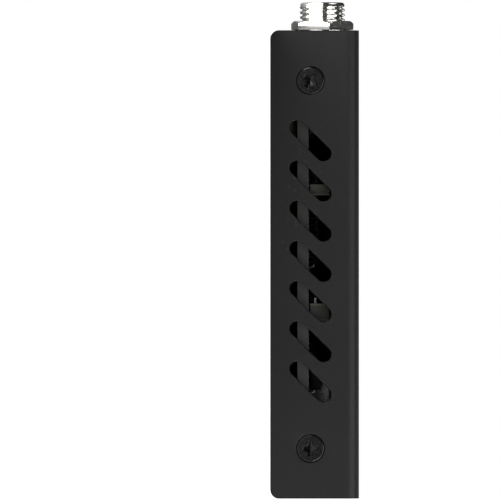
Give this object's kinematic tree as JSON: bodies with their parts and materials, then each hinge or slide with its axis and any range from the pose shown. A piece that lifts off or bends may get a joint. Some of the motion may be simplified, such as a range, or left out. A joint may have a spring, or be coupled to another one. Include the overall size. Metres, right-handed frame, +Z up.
{
  "type": "logic analyzer",
  "caption": "Small folded-steel box with slanted side vents, a rear type B data socket, and a front panel with a threaded coaxial jack and a channel pin header.",
  "frame": {"origin": "centre of the underside of the folded base, on the surface the box stands on", "axes": "+Z up through the cover's web; -Y out of the front panel with the jack and header; +Y out of the rear panel with the data socket; X across the box"},
  "size_m": [0.047, 0.0701, 0.0125],
  "materials": {
    "coated_steel": "fine black powder coat",
    "black_screw": "black plated",
    "tinned_steel": "bright tin plate",
    "nickel": "bright plated",
    "gold": "gold plated",
    "laminate": "solder-masked board",
    "white_plastic": "satin moulded",
    "black_plastic": "satin moulded",
    "epoxy": "matt moulded",
    "passive": "matt",
    "clear_plastic": "clear moulded",
    "fluoropolymer": "waxy white"
  },
  "bodies": {
    "chassis": {"base_tray": "coated_steel", "board_screw_1": "tinned_steel", "board_screw_2": "tinned_steel", "board_screw_3": "tinned_steel", "board_screw_4": "tinned_steel", "board_standoff_1": "tinned_steel", "board_standoff_2": "tinned_steel", "board_standoff_3": "tinned_steel", "board_standoff_4": "tinned_steel", "bulk_capacitor": "passive", "channel_header": "black_plastic", "clock_oscillator": "epoxy", "config_flash": "epoxy", "cover_screw_1": "black_screw", "cover_screw_2": "black_screw", "cover_screw_3": "black_screw", "cover_screw_4": "black_screw", "header_pin_01": "gold", "header_pin_02": "gold", "header_pin_03": "gold", "header_pin_04": "gold", "header_pin_05": "gold", "header_pin_06": "gold", "header_pin_07": "gold", "header_pin_08": "gold", "header_pin_09": "gold", "header_pin_10": "gold", "input_buffer_1": "epoxy", "input_buffer_2": "epoxy", "input_capacitor": "passive", "jack_body": "nickel", "jack_contact": "gold", "jack_insulator": "fluoropolymer", "jack_washer": "nickel", "light_pipe": "clear_plastic", "logic_chip": "epoxy", "main_board": "laminate", "memory_chip": "epoxy", "power_inductor": "passive", "status_lamp": "white_plastic", "termination_array": "passive", "top_cover": "coated_steel", "usb_contact_1": "gold", "usb_contact_2": "gold", "usb_contact_3": "gold", "usb_contact_4": "gold", "usb_controller": "epoxy", "usb_housing": "white_plastic", "usb_shell": "tinned_steel", "voltage_regulator": "epoxy"},
    "jack_nut": {"jack_nut": "nickel"}
  },
  "joints": [
    {"name": "jack_nut_turn", "type": "hinge", "parent": "chassis", "child": "jack_nut", "pos_m": [0.012, -0.0337, 0.00733], "axis": [0, -1, 0], "range_deg": [0, 60]}
  ]
}
